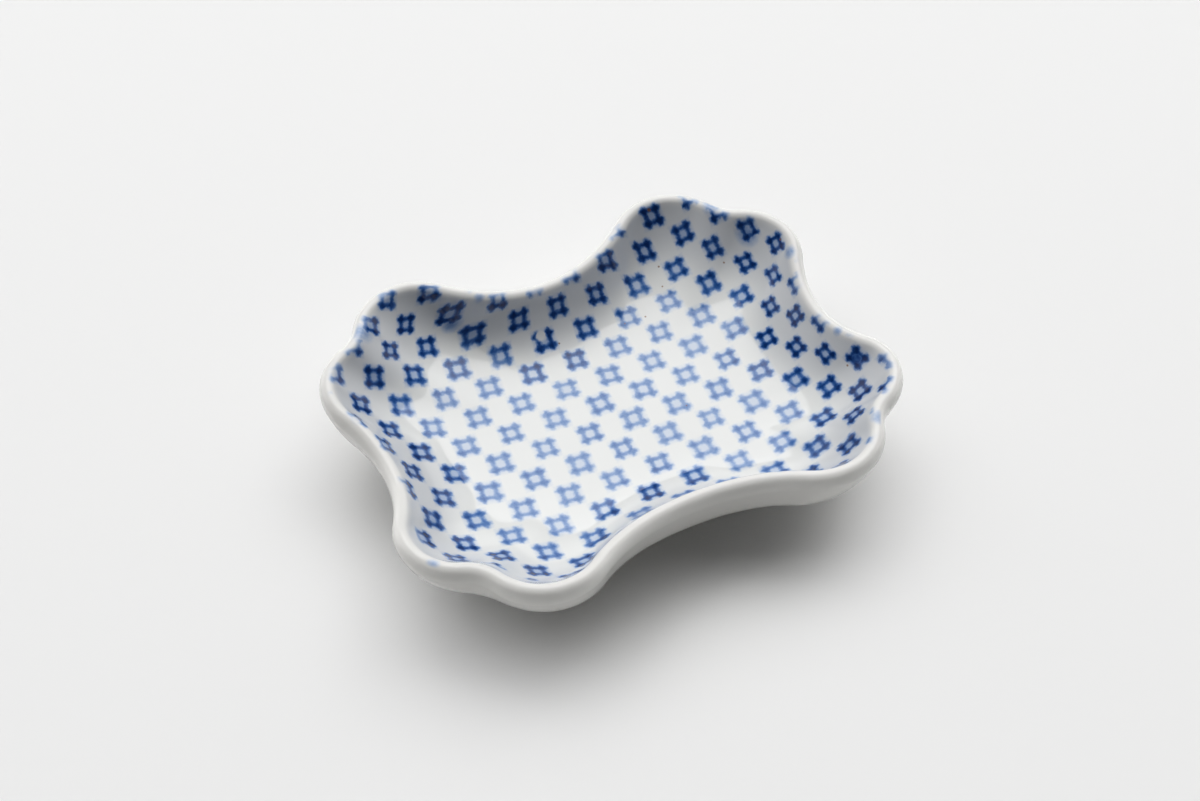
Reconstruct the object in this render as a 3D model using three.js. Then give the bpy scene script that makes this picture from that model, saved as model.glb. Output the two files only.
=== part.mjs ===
// A small porcelain condiment dish with a lobed, wavy rim, standing on a foot ring.
// Units are millimetres, +Z is up, +X runs along the dish, and the origin is on the table
// under the middle of the foot.

import * as THREE from 'three';

// Plan of the rim, taken along the crest of the lip.
const RIM_LENGTH = 92.5;
const RIM_WIDTH = 72.8;
const END_LOBE_SPACING = 33.8;
const SIDE_LOBE_SPACING = 51.6;
const END_LOBE_RADIUS = 9.7;
const SIDE_LOBE_RADIUS = 10.8;
const NOTCH_RADIUS = 8.6;
const END_DRAW_IN = 4.1;
const SIDE_DRAW_IN = 9.0;

// Heights of the shell. The rim dips at the middle of each side.
const BOWL_DEPTH = 13.0;
const RIM_DIP = 3.0;
const FLOOR_THICKNESS = 3.6;
const LIP_RADIUS = 1.25;

// The inside is a bowl curve. A higher power keeps the bowl flat for longer and then turns it
// up more sharply. The outer wall is such a curve with a steeper band under the lip, and below
// that band it fills out most of the notch.
const LOBE_POWER = 5.0;
const VALLEY_POWER = 6.5;
const NOTCH_FILL = 0.8;
const OUTER_BAND = 6.2;
const OUTER_BAND_POWER = 14;
const OUTER_POWER = 1.5;

// The foot ring is oval and narrows a little towards its edge.
const FOOT_LENGTH = 56;
const FOOT_WIDTH = 38;
const FOOT_HEIGHT = 4.0;
const FOOT_WALL = 3.4;
const FOOT_TAPER = 0.5;
const FOOT_EDGE_ROUND = 0.6;

// The glaze is wiped off the lowest part of the foot.
const GLAZE_THICKNESS = 0.25;
const BARE_EDGE = 1.3;

// How finely the curved faces are divided.
const VALLEY_STEPS = 4;
const LOBE_STEPS = 5;
const NOTCH_STEPS = 3;
const INSIDE_RINGS = 7;
const INNER_LIP_RINGS = 2;
const OUTER_LIP_RINGS = 3;
const OUTSIDE_RINGS = 6;

const UNDERSIDE_Z = FOOT_HEIGHT;
const FLOOR_Z = UNDERSIDE_Z + FLOOR_THICKNESS;
const CREST_Z = FLOOR_Z + BOWL_DEPTH;

// An arc of the rim turns from one angle to another about its centre.
function rimArc(centre, radius, from, to, convex, steps) {
  const start = from.clone().sub(centre).angle();
  let end = to.clone().sub(centre).angle();
  if (convex && end < start) end += 2 * Math.PI;
  if (!convex && end > start) end -= 2 * Math.PI;
  return { centre, radius, start, end, convex, steps, length: radius * Math.abs(end - start) };
}

// A rim point knows its place in plan, its outward direction and how far along the rim it is.
function rimPoint(arc, share, runBefore) {
  const angle = THREE.MathUtils.lerp(arc.start, arc.end, share);
  const outward = new THREE.Vector2(Math.cos(angle), Math.sin(angle));
  const place = arc.centre.clone().addScaledVector(outward, arc.radius);
  if (!arc.convex) outward.negate();
  return { place, outward, run: runBefore + arc.length * share };
}

// The concave side arc that bulges in by drawIn and meets a lobe of the given radius whose
// centre is halfSpacing off the axis.
function valleyRadius(halfSpacing, lobeRadius, drawIn) {
  return (halfSpacing ** 2 - 2 * lobeRadius * drawIn + drawIn ** 2) / (2 * drawIn);
}

// Centre of the circle that touches both lobes from outside the dish.
function notchCentre(endLobe, sideLobe) {
  const toSide = sideLobe.clone().sub(endLobe);
  const gap = toSide.length();
  const along = toSide.clone().normalize();
  const outward = new THREE.Vector2(along.y, -along.x);
  const endReach = END_LOBE_RADIUS + NOTCH_RADIUS;
  const sideReach = SIDE_LOBE_RADIUS + NOTCH_RADIUS;
  const forward = (gap ** 2 + endReach ** 2 - sideReach ** 2) / (2 * gap);
  const aside = Math.sqrt(endReach ** 2 - forward ** 2);
  return endLobe.clone().addScaledVector(along, forward).addScaledVector(outward, aside);
}

function between(centre, other, distance) {
  return centre.clone().lerp(other, distance / centre.distanceTo(other));
}

// The straight line that touches two lobes on the outside: where it touches the first, the way
// along it to the second, and the direction square to it.
function lineAcross(endLobe, sideLobe) {
  const span = sideLobe.centre.clone().sub(endLobe.centre);
  const lean = Math.asin((endLobe.radius - sideLobe.radius) / span.length());
  const heading = span.angle() - Math.PI / 2 + lean;
  const square = new THREE.Vector2(Math.cos(heading), Math.sin(heading));
  const start = endLobe.centre.clone().addScaledVector(square, endLobe.radius);
  const end = sideLobe.centre.clone().addScaledVector(square, sideLobe.radius);
  return { start, way: end.sub(start), square };
}

// The way out from a place in the notch to that line.
function bridgeFrom(place, line) {
  const run = place.clone().sub(line.start);
  const along = run.dot(line.way);
  const isBeside = along > 0 && along < line.way.lengthSq();
  const gap = isBeside ? Math.max(0, -run.dot(line.square)) : 0;
  return line.square.clone().multiplyScalar(gap);
}

// The crest line of one corner, from the middle of a short end to the middle of a long side.
function cornerOutline() {
  const endLobe = new THREE.Vector2(RIM_LENGTH / 2 - END_LOBE_RADIUS, END_LOBE_SPACING / 2);
  const sideLobe = new THREE.Vector2(SIDE_LOBE_SPACING / 2, RIM_WIDTH / 2 - SIDE_LOBE_RADIUS);
  const endRadius = valleyRadius(END_LOBE_SPACING / 2, END_LOBE_RADIUS, END_DRAW_IN);
  const sideRadius = valleyRadius(SIDE_LOBE_SPACING / 2, SIDE_LOBE_RADIUS, SIDE_DRAW_IN);
  const endMiddle = new THREE.Vector2(RIM_LENGTH / 2 - END_DRAW_IN, 0);
  const sideMiddle = new THREE.Vector2(0, RIM_WIDTH / 2 - SIDE_DRAW_IN);
  const endValley = new THREE.Vector2(endMiddle.x + endRadius, 0);
  const sideValley = new THREE.Vector2(0, sideMiddle.y + sideRadius);
  const notch = notchCentre(endLobe, sideLobe);

  const endTouch = between(endValley, endLobe, endRadius);
  const notchFromEnd = between(endLobe, notch, END_LOBE_RADIUS);
  const notchToSide = between(notch, sideLobe, NOTCH_RADIUS);
  const sideTouch = between(sideLobe, sideValley, SIDE_LOBE_RADIUS);

  const arcs = [
    rimArc(endValley, endRadius, endMiddle, endTouch, false, VALLEY_STEPS),
    rimArc(endLobe, END_LOBE_RADIUS, endTouch, notchFromEnd, true, LOBE_STEPS),
    rimArc(notch, NOTCH_RADIUS, notchFromEnd, notchToSide, false, NOTCH_STEPS),
    rimArc(sideLobe, SIDE_LOBE_RADIUS, notchToSide, sideTouch, true, LOBE_STEPS),
    rimArc(sideValley, sideRadius, sideTouch, sideMiddle, false, VALLEY_STEPS),
  ];
  const points = [];
  let run = 0;
  for (const arc of arcs) {
    for (let step = 0; step < arc.steps; step += 1) {
      points.push(rimPoint(arc, step / arc.steps, run));
    }
    run += arc.length;
  }
  points.push(rimPoint(arcs.at(-1), 1, run - arcs.at(-1).length));

  // The rim is lowest at the middle of each side and level from the top of one lobe to the next.
  const [endValleyArc, endLobeArc, , sideLobeArc, sideValleyArc] = arcs;
  const endRun = endValleyArc.length + endLobeArc.length / 2;
  const sideRun = sideValleyArc.length + sideLobeArc.length / 2;
  const line = lineAcross(endLobeArc, sideLobeArc);
  for (const point of points) {
    point.bridge = bridgeFrom(point.place, line);
    const share = Math.max(0, 1 - point.run / endRun, 1 - (run - point.run) / sideRun);
    point.dip = Math.sin(share * Math.PI / 2) ** 2;
  }
  return points;
}

function mirrored(points, signX, signY) {
  const sign = new THREE.Vector2(signX, signY);
  return points.map((point) => ({
    place: point.place.clone().multiply(sign),
    outward: point.outward.clone().multiply(sign),
    bridge: point.bridge.clone().multiply(sign),
    dip: point.dip,
  }));
}

// The whole crest line, counter-clockwise seen from above.
function rimOutline() {
  const corner = cornerOutline();
  const back = [...corner].reverse();
  const quarters = [corner, mirrored(back, -1, 1), mirrored(corner, -1, -1), mirrored(back, 1, -1)];
  return quarters.flatMap((quarter) => quarter.slice(0, -1));
}

const RIM = rimOutline();

function crestHeight(point) {
  return CREST_Z - RIM_DIP * point.dip;
}

// The oval foot outline, moved in by inset, at the same place around the dish as a rim point.
function footPoint(point, inset, z) {
  const halfLength = FOOT_LENGTH / 2;
  const halfWidth = FOOT_WIDTH / 2;
  const angle = Math.atan2(point.place.y / RIM_WIDTH, point.place.x / RIM_LENGTH);
  const outward = new THREE.Vector2(Math.cos(angle) / halfLength, Math.sin(angle) / halfWidth);
  outward.normalize();
  const x = halfLength * Math.cos(angle) - outward.x * inset;
  const y = halfWidth * Math.sin(angle) - outward.y * inset;
  return new THREE.Vector3(x, y, z);
}

function lipPoint(point, turn) {
  const reach = LIP_RADIUS * Math.cos(turn);
  const x = point.place.x + point.outward.x * reach;
  const y = point.place.y + point.outward.y * reach;
  const z = crestHeight(point) - LIP_RADIUS + LIP_RADIUS * Math.sin(turn);
  return new THREE.Vector3(x, y, z);
}

function bowlPower(point) {
  return THREE.MathUtils.lerp(LOBE_POWER, VALLEY_POWER, point.dip);
}

// How far the inside leans from upright where it meets the lip.
function innerLean(point) {
  const rise = (crestHeight(point) - FLOOR_Z) * bowlPower(point);
  return Math.atan2(point.place.dot(point.outward), rise);
}

// How far the outer wall leans from upright where it meets the lip.
function outerLean(point) {
  const foot = footPoint(point, 0, UNDERSIDE_Z);
  const pull = point.place.clone().sub(foot);
  pull.addScaledVector(point.bridge, -NOTCH_FILL * OUTER_BAND_POWER);
  const bowl = (crestHeight(point) - UNDERSIDE_Z - OUTER_BAND) * OUTER_POWER;
  return Math.atan2(pull.dot(point.outward), bowl + OUTER_BAND * OUTER_BAND_POWER);
}

function innerEdge(point) {
  return lipPoint(point, Math.PI - innerLean(point));
}

function outerEdge(point) {
  return lipPoint(point, -outerLean(point));
}

// Inside of the bowl: the lip's inner edge drawn in towards the middle of the floor.
function insideRing(share) {
  return RIM.map((point) => {
    const edge = innerEdge(point);
    const z = FLOOR_Z + (edge.z - FLOOR_Z) * share ** bowlPower(point);
    return new THREE.Vector3(edge.x * share, edge.y * share, z);
  });
}

// The lip from its inner edge, at share 0, to its crest.
function innerLipRing(share) {
  return RIM.map((point) => {
    return lipPoint(point, THREE.MathUtils.lerp(Math.PI - innerLean(point), Math.PI / 2, share));
  });
}

// The lip from its crest, at share 0, to its outer edge.
function outerLipRing(share) {
  return RIM.map((point) => {
    return lipPoint(point, THREE.MathUtils.lerp(Math.PI / 2, -outerLean(point), share));
  });
}

// Outer wall: share 0 is the top of the foot and share 1 the lip's outer edge.
function outsideRing(share) {
  return RIM.map((point) => {
    const edge = outerEdge(point);
    const band = share ** OUTER_BAND_POWER;
    const bowl = (edge.z - UNDERSIDE_Z - OUTER_BAND) * share ** OUTER_POWER;
    const fill = NOTCH_FILL * (1 - band);
    edge.x += point.bridge.x * fill;
    edge.y += point.bridge.y * fill;
    const ring = footPoint(point, 0, UNDERSIDE_Z).lerp(edge, share);
    return ring.setZ(UNDERSIDE_Z + bowl + OUTER_BAND * band);
  });
}

function footRing(inset, z) {
  return RIM.map((point) => footPoint(point, inset, z));
}

// Shares from 0 to 1 that crowd towards 1, where the wall turns up.
function crowdedShares(count) {
  return Array.from({ length: count }, (_, step) => Math.sin((step + 1) / count * Math.PI / 2));
}

// Even shares from above 0 to 1.
function evenShares(count) {
  return Array.from({ length: count }, (_, step) => (step + 1) / count);
}

const INSIDE = crowdedShares(INSIDE_RINGS).map(insideRing);
const LIP = [
  ...evenShares(INNER_LIP_RINGS).map(innerLipRing),
  ...evenShares(OUTER_LIP_RINGS).map(outerLipRing),
];
const OUTSIDE = [...crowdedShares(OUTSIDE_RINGS).slice(0, -1).reverse(), 0].map(outsideRing);
const FOOT_SIDE_INSET = FOOT_TAPER * (1 - BARE_EDGE / FOOT_HEIGHT);
const INNER_SIDE_INSET = FOOT_WALL - FOOT_SIDE_INSET;

// Faces between neighbouring rings. They look out when the rings run along a section from the
// top, over the outside, to the bottom.
function strip(upper, lower) {
  const around = RIM.length;
  const indices = [];
  for (let step = 0; step < around; step += 1) {
    const beside = (step + 1) % around;
    indices.push(upper + step, lower + step, lower + beside);
    indices.push(upper + step, lower + beside, upper + beside);
  }
  return indices;
}

function strips(ringCount, first) {
  const starts = Array.from({ length: ringCount }, (_, ring) => first + ring * RIM.length);
  return starts.slice(1).flatMap((start, ring) => strip(starts[ring], start));
}

// Faces that close a ring with a point on the middle axis, looking up.
function cap(middle, ring) {
  const around = RIM.length;
  const indices = [];
  for (let step = 0; step < around; step += 1) {
    indices.push(middle, ring + step, ring + (step + 1) % around);
  }
  return indices;
}

// Reversing the whole list turns every face over.
function turnedOver(indices) {
  return [...indices].reverse();
}

function geometryFrom(points, indices) {
  const geometry = new THREE.BufferGeometry().setFromPoints(points);
  geometry.setIndex(indices);
  geometry.computeVertexNormals();
  return geometry;
}

function onAxis(z) {
  return new THREE.Vector3(0, 0, z);
}

// A solid whose section starts and ends on the middle axis.
function cappedSolid(topZ, rings, bottomZ) {
  const points = [...rings.flat(), onAxis(topZ), onAxis(bottomZ)];
  const top = points.length - 2;
  const lastRing = top - RIM.length;
  const indices = [
    ...cap(top, 0),
    ...strips(rings.length, 0),
    ...turnedOver(cap(top + 1, lastRing)),
  ];
  return geometryFrom(points, indices);
}

// A solid whose section closes on itself.
function ringSolid(rings) {
  const lastRing = (rings.length - 1) * RIM.length;
  return geometryFrom(rings.flat(), [...strips(rings.length, 0), ...strip(lastRing, 0)]);
}

// The same rings moved out by a coat's thickness, square to the surface that they make.
function coatedRings(rings, thickness) {
  const around = RIM.length;
  return rings.map((ring, index) => ring.map((point, step) => {
    const before = index > 0 ? rings[index - 1][step] : point;
    const after = index < rings.length - 1 ? rings[index + 1][step] : point;
    const down = after.clone().sub(before);
    const along = ring[(step + 1) % around].clone().sub(ring[(step + around - 1) % around]);
    const outward = down.cross(along).normalize();
    return point.clone().addScaledVector(outward, thickness);
  }));
}

function material(colour, roughness) {
  return new THREE.MeshStandardMaterial({ color: colour, roughness, metalness: 0 });
}

function part(name, geometry, look) {
  const mesh = new THREE.Mesh(geometry, look);
  mesh.name = name;
  return mesh;
}

// The shell: inside, lip, outer wall, and a flat underside that carries the foot.
function porcelainBody() {
  const geometry = cappedSolid(FLOOR_Z, [...INSIDE, ...LIP, ...OUTSIDE], UNDERSIDE_Z);
  return part('porcelain_body', geometry, material('#e4e4e0', 0.6));
}

// The foot stands on its rounded, bare edge and is luted to the underside.
function footRingSolid() {
  const round = FOOT_EDGE_ROUND;
  const rings = [
    footRing(0, UNDERSIDE_Z),
    footRing(FOOT_SIDE_INSET, BARE_EDGE),
    footRing(FOOT_TAPER, round),
    footRing(FOOT_TAPER + round, 0),
    footRing(FOOT_WALL - FOOT_TAPER - round, 0),
    footRing(FOOT_WALL - FOOT_TAPER, round),
    footRing(INNER_SIDE_INSET, BARE_EDGE),
    footRing(FOOT_WALL, UNDERSIDE_Z),
  ];
  return part('foot_ring', ringSolid(rings), material('#d8d2c6', 0.85));
}

// Clear glaze over the inside, the lip, the outer wall and the foot's outside. Its hidden face
// repeats the faces that it covers.
function glazeCoat() {
  const covered = [...INSIDE, ...LIP, ...OUTSIDE, footRing(FOOT_SIDE_INSET, BARE_EDGE)];
  const surface = coatedRings(covered, GLAZE_THICKNESS);
  surface.at(-1).forEach((point) => point.setZ(BARE_EDGE));
  const points = [...surface.flat(), ...covered.flat()];
  points.push(onAxis(FLOOR_Z + GLAZE_THICKNESS), onAxis(FLOOR_Z));
  const middle = points.length - 2;
  const hidden = covered.length * RIM.length;
  const lastSurface = hidden - RIM.length;
  const indices = [
    ...cap(middle, 0),
    ...strips(surface.length, 0),
    ...strip(lastSurface, hidden + lastSurface),
    ...turnedOver(strips(covered.length, hidden)),
    ...turnedOver(cap(middle + 1, hidden)),
  ];
  return part('glaze_coat', geometryFrom(points, indices), material('#eceeec', 0.08));
}

// The patch of glaze inside the foot ring, up the ring's inner side and over the underside.
function baseGlaze() {
  const covered = [footRing(INNER_SIDE_INSET, BARE_EDGE), footRing(FOOT_WALL, UNDERSIDE_Z)];
  const underside = UNDERSIDE_Z - GLAZE_THICKNESS;
  const surface = [
    footRing(INNER_SIDE_INSET + GLAZE_THICKNESS, BARE_EDGE),
    footRing(FOOT_WALL + GLAZE_THICKNESS, underside),
  ];
  const points = [...surface.flat(), ...covered.flat(), onAxis(underside), onAxis(UNDERSIDE_Z)];
  const middle = points.length - 2;
  const hidden = surface.length * RIM.length;
  const indices = [
    ...strip(hidden, 0),
    ...strips(surface.length, 0),
    ...turnedOver(cap(middle, RIM.length)),
    ...turnedOver(strips(covered.length, hidden)),
    ...cap(middle + 1, hidden + RIM.length),
  ];
  return part('base_glaze', geometryFrom(points, indices), material('#e8eae8', 0.12));
}

const dish = new THREE.Group();
dish.add(porcelainBody(), footRingSolid(), glazeCoat(), baseGlaze());

export default dish;
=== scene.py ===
import math

import bmesh
import bpy
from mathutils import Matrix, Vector


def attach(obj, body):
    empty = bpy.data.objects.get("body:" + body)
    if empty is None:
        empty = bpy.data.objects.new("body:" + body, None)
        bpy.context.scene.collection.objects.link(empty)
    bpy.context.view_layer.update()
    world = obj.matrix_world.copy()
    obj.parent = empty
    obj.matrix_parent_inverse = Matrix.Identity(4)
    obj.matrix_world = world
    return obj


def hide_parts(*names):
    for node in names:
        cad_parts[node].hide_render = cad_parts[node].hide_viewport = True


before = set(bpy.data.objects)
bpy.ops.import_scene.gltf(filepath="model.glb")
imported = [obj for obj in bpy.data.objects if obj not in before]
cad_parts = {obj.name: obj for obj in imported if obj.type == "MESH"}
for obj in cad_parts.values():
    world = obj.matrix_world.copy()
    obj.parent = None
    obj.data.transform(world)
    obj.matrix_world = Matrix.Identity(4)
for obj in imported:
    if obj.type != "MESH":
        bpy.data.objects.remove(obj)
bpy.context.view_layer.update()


# The clay shell: porcelain clay pressed into a lobed mould. Its plan is a rectangle with drawn-in
# sides and notched corners, and the wall turns up from a flat floor to a rounded lip, which dips
# at the middle of each side. The glaze hides all of it in the finished dish.

# Sizes are in millimetres, and the rim's are those of the lip's crest seen from above.
MM = 0.001
RIM_LENGTH = 92.15
RIM_WIDTH = 72.65
END_LOBE_SPACING = 33.8
SIDE_LOBE_SPACING = 51.6
END_LOBE_RADIUS = 9.7
SIDE_LOBE_RADIUS = 10.8
NOTCH_RADIUS = 8.6
END_DRAW_IN = 4.1
BACK_DRAW_IN = 9.0
FRONT_DRAW_IN = 8.2
COLUMNS_PER_CORNER = 90

FOOT_LENGTH = 56.0
FOOT_WIDTH = 38.0
UNDERSIDE_HEIGHT = 4.0
FOOT_TAPER = 0.5
BARE_EDGE = 1.3
FOOT_SIDE_INSET = FOOT_TAPER * (1 - BARE_EDGE / UNDERSIDE_HEIGHT)
GLAZE_THICKNESS = 0.25

SECTION_SIZES = {
    "Floor Height": 7.6,
    "Crest Height": 20.595,
    "Rim Dip": 3.0,
    "Lip Radius": 1.25,
    "Lip Shoulder": 2.0,
    "Lobe Power": 5.0,
    "Valley Power": 6.5,
    "Outer Band": 5.6,
    "Outer Band Power": 14.0,
    "Outer Power": 1.5,
    "Notch Fill": 0.8,
    "Rim Length": RIM_LENGTH,
    "Rim Width": RIM_WIDTH,
    "Foot Length": FOOT_LENGTH,
    "Foot Width": FOOT_WIDTH,
    "Underside Height": UNDERSIDE_HEIGHT,
    "Foot Side Inset": FOOT_SIDE_INSET,
    "Bare Edge": BARE_EDGE,
    "Coat": GLAZE_THICKNESS,
    "Columns": 4 * COLUMNS_PER_CORNER,
    "Inside Rows": 52,
    "Lip Rows": 18,
    "Wall Rows": 24,
    "Foot Rows": 8,
}
COAT_THINS_FROM = 0.7
MERGE_DISTANCE = 0.0003

# The unglazed clay: where its clouds and dots of stain begin and end in the noise.
CLOUD_RANGE = (0.35, 0.7)
DOT_RANGE = (0.66, 0.74)
CLOUD_HEIGHT = 0.4


def rim_arc(centre, radius, start, end, convex):
    """One arc of the crest line, bulging outwards where it is convex."""
    first, last = (math.atan2(*(point - centre).yx) for point in (start, end))
    if convex and last < first:
        last += math.tau
    if not convex and last > first:
        last -= math.tau
    return {
        "centre": centre,
        "radius": radius,
        "first": first,
        "last": last,
        "side": 1 if convex else -1,
        "length": radius * abs(last - first),
    }


def between(centre, other, distance):
    """The place at this distance from one centre on the way to the other."""
    return centre.lerp(other, distance / (other - centre).length)


def valley_radius(half_spacing, lobe_radius, draw_in):
    """The radius of the drawn-in side that runs smoothly into the lobes at its ends."""
    return (half_spacing**2 - 2 * lobe_radius * draw_in + draw_in**2) / (2 * draw_in)


def corner_arcs(side_draw_in):
    """The crest line of one corner, from the middle of a short end to the middle of a long side."""
    end_lobe = Vector((RIM_LENGTH / 2 - END_LOBE_RADIUS, END_LOBE_SPACING / 2))
    side_lobe = Vector((SIDE_LOBE_SPACING / 2, RIM_WIDTH / 2 - SIDE_LOBE_RADIUS))
    end_radius = valley_radius(END_LOBE_SPACING / 2, END_LOBE_RADIUS, END_DRAW_IN)
    side_radius = valley_radius(SIDE_LOBE_SPACING / 2, SIDE_LOBE_RADIUS, side_draw_in)
    end_middle = Vector((RIM_LENGTH / 2 - END_DRAW_IN, 0))
    side_middle = Vector((0, RIM_WIDTH / 2 - side_draw_in))
    end_valley = end_middle + Vector((end_radius, 0))
    side_valley = side_middle + Vector((0, side_radius))

    gap = (side_lobe - end_lobe).length
    along = (side_lobe - end_lobe).normalized()
    aside = Vector((along.y, -along.x))
    end_reach = END_LOBE_RADIUS + NOTCH_RADIUS
    side_reach = SIDE_LOBE_RADIUS + NOTCH_RADIUS
    forward = (gap**2 + end_reach**2 - side_reach**2) / (2 * gap)
    notch = end_lobe + along * forward + aside * math.sqrt(end_reach**2 - forward**2)

    end_touch = between(end_valley, end_lobe, end_radius)
    notch_from_end = between(end_lobe, notch, END_LOBE_RADIUS)
    notch_to_side = between(notch, side_lobe, NOTCH_RADIUS)
    side_touch = between(side_lobe, side_valley, SIDE_LOBE_RADIUS)
    return [
        rim_arc(end_valley, end_radius, end_middle, end_touch, False),
        rim_arc(end_lobe, END_LOBE_RADIUS, end_touch, notch_from_end, True),
        rim_arc(notch, NOTCH_RADIUS, notch_from_end, notch_to_side, False),
        rim_arc(side_lobe, SIDE_LOBE_RADIUS, notch_to_side, side_touch, True),
        rim_arc(side_valley, side_radius, side_touch, side_middle, False),
    ]


def corner_points(side_draw_in):
    """Places along one corner, each with its outward direction, the way out to a straight line
    laid across the notch from lobe to lobe, and how far the rim dips there."""
    arcs = corner_arcs(side_draw_in)
    end_lobe, side_lobe = arcs[1], arcs[3]
    span = side_lobe["centre"] - end_lobe["centre"]
    lean = math.asin((end_lobe["radius"] - side_lobe["radius"]) / span.length)
    heading = math.atan2(span.y, span.x) - math.pi / 2 + lean
    square = Vector((math.cos(heading), math.sin(heading)))
    touches = [lobe["centre"] + square * lobe["radius"] for lobe in (end_lobe, side_lobe)]
    across = touches[1] - touches[0]
    lengths = [arc["length"] for arc in arcs]
    whole = sum(lengths)
    end_run = lengths[0] + lengths[1] / 2
    side_run = lengths[4] + lengths[3] / 2
    points = []
    for step in range(COLUMNS_PER_CORNER + 1):
        run = left = whole * step / COLUMNS_PER_CORNER
        arc_index = 0
        while arc_index < len(arcs) - 1 and left > lengths[arc_index]:
            left -= lengths[arc_index]
            arc_index += 1
        arc = arcs[arc_index]
        turn = arc["first"] + (arc["last"] - arc["first"]) * left / arc["length"]
        ray = Vector((math.cos(turn), math.sin(turn)))
        share = max(0, 1 - run / end_run, 1 - (whole - run) / side_run)
        dip = math.sin(share * math.pi / 2) ** 2
        place = arc["centre"] + ray * arc["radius"]
        over = 0 < (place - touches[0]).dot(across) < across.length_squared
        bridge = square * max(0, (touches[0] - place).dot(square)) * over
        points.append((place, ray * arc["side"], bridge, dip))
    return points


def mirrored(points, sign_x, sign_y):
    """The same corner on another side of the dish."""
    sign = Vector((sign_x, sign_y))
    return [(*(vector * sign for vector in point[:3]), point[3]) for point in points]


def crest_line():
    """The lip's crest as a closed line, counter-clockwise seen from above, in millimetres."""
    back = corner_points(BACK_DRAW_IN)
    front = corner_points(FRONT_DRAW_IN)
    quarters = [
        back,
        mirrored(back[::-1], -1, 1),
        mirrored(front, -1, -1),
        mirrored(front[::-1], 1, -1),
    ]
    line = [point for quarter in quarters for point in quarter[:-1]]
    mesh = bpy.data.meshes.new("crest_line")
    mesh.from_pydata([(*point[0], 0) for point in line], [], [])
    for name in ("outward", "bridge"):
        mesh.attributes.new(name, "FLOAT_VECTOR", "POINT")
    mesh.attributes.new("dip", "FLOAT", "POINT")
    for index, (_, outward, bridge, dip) in enumerate(line):
        mesh.attributes["outward"].data[index].vector = (*outward, 0)
        mesh.attributes["bridge"].data[index].vector = (*bridge, 0)
        mesh.attributes["dip"].data[index].value = dip
    return mesh


class Term:
    """A node's output that takes part in sums as a number does, so that a tree reads as a rule."""

    def __init__(self, socket):
        self.socket = socket

    def does(self, operation, *others):
        """The result of an operation on numbers."""
        return put(self.socket.id_data, "ShaderNodeMath", self, *others, operation=operation)

    def vector(self, operation, *others):
        """The result of an operation on places and directions."""
        tree = self.socket.id_data
        return put(tree, "ShaderNodeVectorMath", self, *others, operation=operation)

    def beside(self, name):
        """Another output of the same node."""
        return Term(self.socket.node.outputs[name])

    def parts(self):
        """The three numbers of a place or colour."""
        split = put(self.socket.id_data, "ShaderNodeSeparateXYZ", self)
        return [split.beside(axis) for axis in "XYZ"]

    def within(self, low, high):
        """0 at low, 1 at high and a straight rise between, where low may be above high."""
        return put(self.socket.id_data, "ShaderNodeMapRange", self, low, high, 0.0, 1.0)

    def eased(self, low, high):
        """As within(), with a soft start and end."""
        tree = self.socket.id_data
        kind = "ShaderNodeMapRange"
        return put(tree, kind, self, low, high, 0.0, 1.0, interpolation_type="SMOOTHSTEP")

    def __add__(self, other):
        return self.does("ADD", other)

    def __sub__(self, other):
        return self.does("SUBTRACT", other)

    def __rsub__(self, other):
        return self.does("MULTIPLY_ADD", -1.0, other)

    def __mul__(self, other):
        return self.does("MULTIPLY", other)

    def __truediv__(self, other):
        return self.does("DIVIDE", other)

    def __pow__(self, other):
        return self.does("POWER", other)

    def __mod__(self, other):
        return self.does("MODULO", other)

    __radd__ = __add__
    __rmul__ = __mul__


def put(tree, kind, *values, named=None, **settings):
    """Adds a node and feeds its sockets, in order or by name, with values or other outputs."""
    node = tree.nodes.new(kind)
    for name, value in settings.items():
        setattr(node, name, value)
    in_order = [socket for socket in node.inputs if socket.enabled]
    by_name = {node.inputs[name]: value for name, value in (named or {}).items()}
    for socket, value in [*zip(in_order, values), *by_name.items()]:
        if isinstance(value, Term):
            tree.links.new(value.socket, socket)
        elif value is not None:
            socket.default_value = value
    return Term(next(socket for socket in node.outputs if socket.enabled))


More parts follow.
